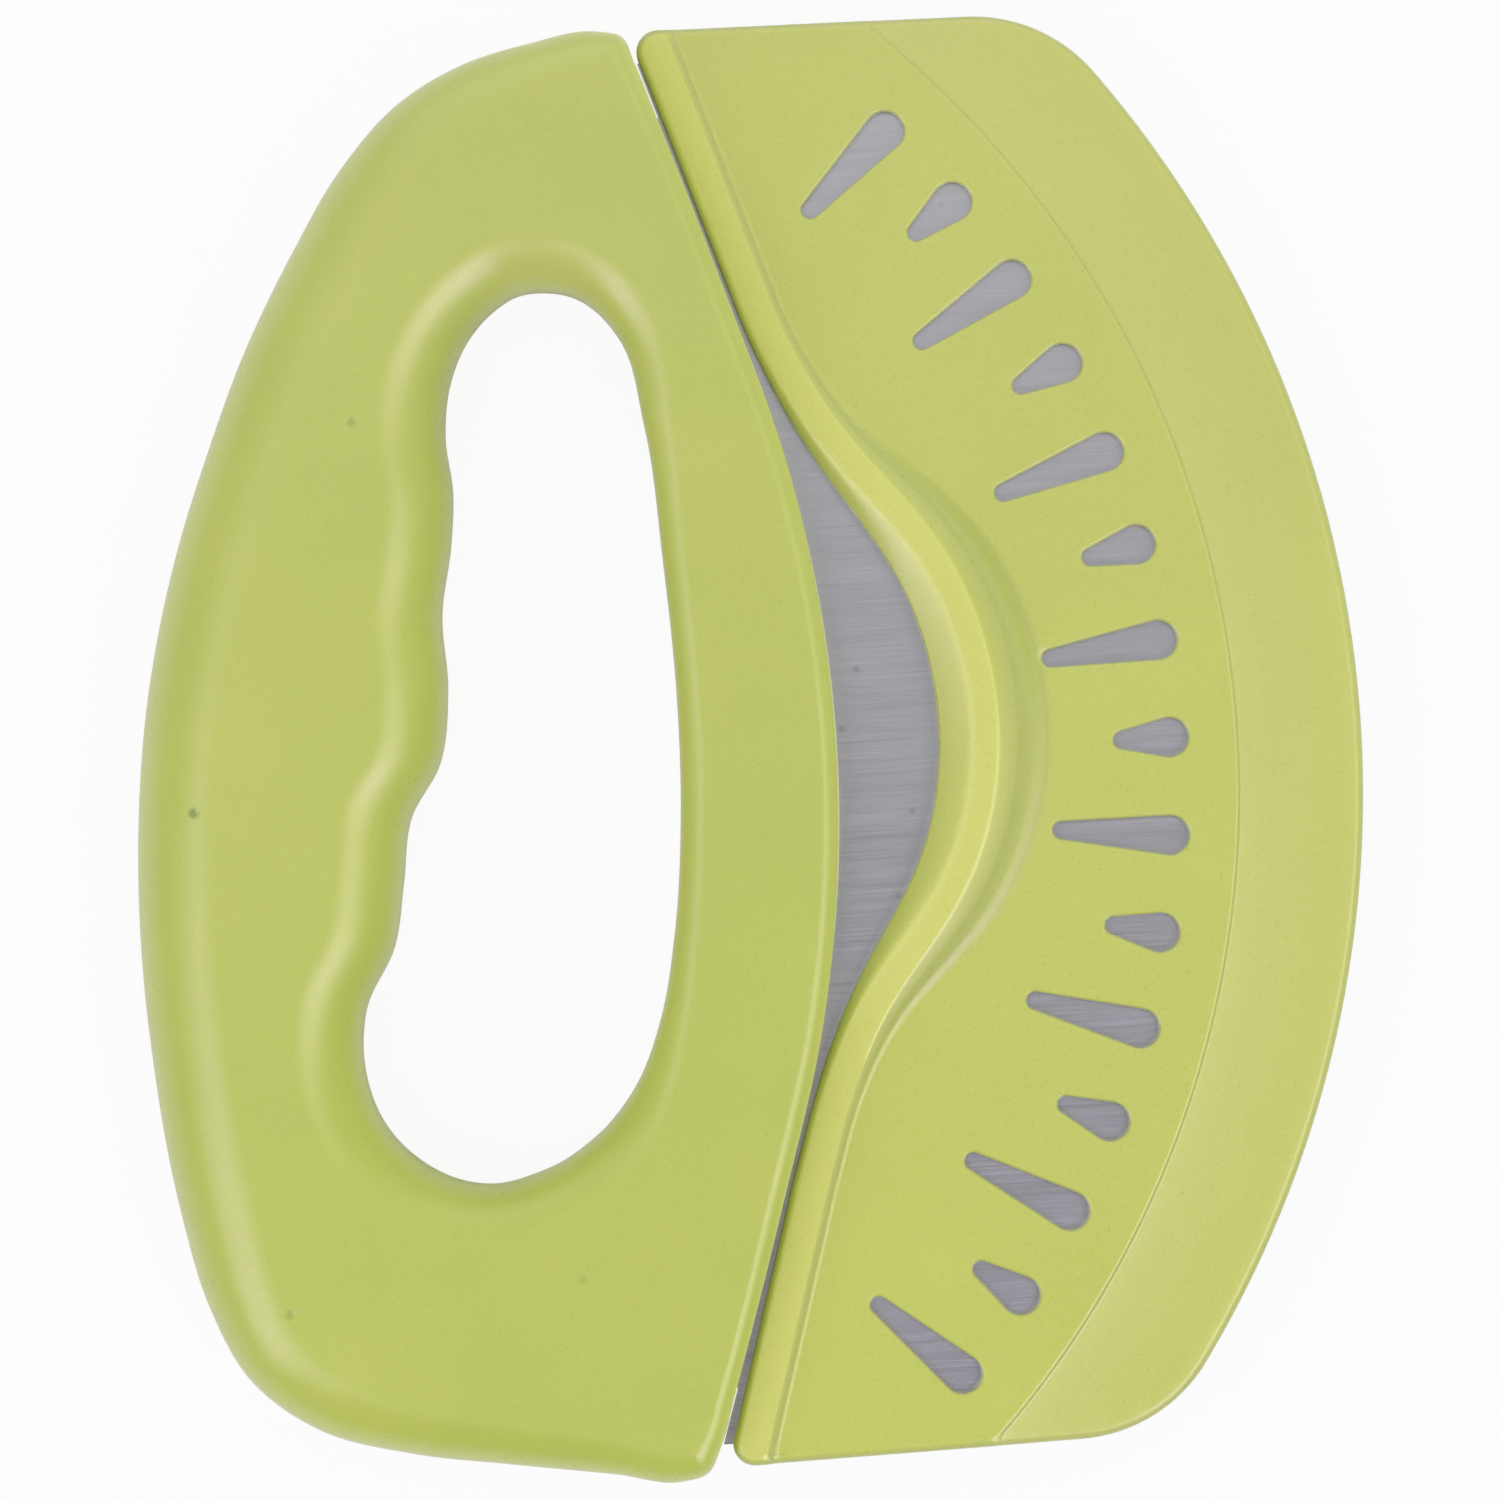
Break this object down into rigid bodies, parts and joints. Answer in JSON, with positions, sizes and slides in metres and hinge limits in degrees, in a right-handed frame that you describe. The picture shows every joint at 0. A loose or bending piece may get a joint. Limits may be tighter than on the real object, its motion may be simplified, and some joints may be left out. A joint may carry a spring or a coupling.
{
  "type": "pizza cutter",
  "caption": "Rocker pizza cutter: a curved steel blade in a ring handle with a scalloped finger opening, and a pocket guard that slides off the blade.",
  "frame": {"origin": "middle of the whole cutter, on the surface it lies on: the back of the handle is at z = 0", "axes": "+X from the grip to the cutting edge, the way the guard slides off; +Y along the blade and the handle; +Z through the blade's thickness, up as it lies"},
  "size_m": [0.1702, 0.2002, 0.025],
  "materials": {
    "grip_skin": "fine matt grain, soft to the touch",
    "core_plastic": "plain moulded",
    "blade_steel": "brushed across the blade, ground edge",
    "rivet_steel": "plain turned",
    "guard_plastic": "fine satin grain"
  },
  "bodies": {
    "cutter": {"blade": "blade_steel", "handle_core_front": "core_plastic", "handle_core_back": "core_plastic", "grip_skin_front": "grip_skin", "grip_skin_back": "grip_skin", "tang_rivet_1": "rivet_steel", "tang_rivet_2": "rivet_steel", "tang_rivet_3": "rivet_steel", "tang_rivet_4": "rivet_steel", "tang_rivet_5": "rivet_steel"},
    "guard": {"blade_guard": "guard_plastic"}
  },
  "joints": [
    {"name": "guard_slide", "type": "slide", "parent": "cutter", "child": "guard", "axis": [1, 0, 0], "range_m": [0, 0.08]}
  ]
}
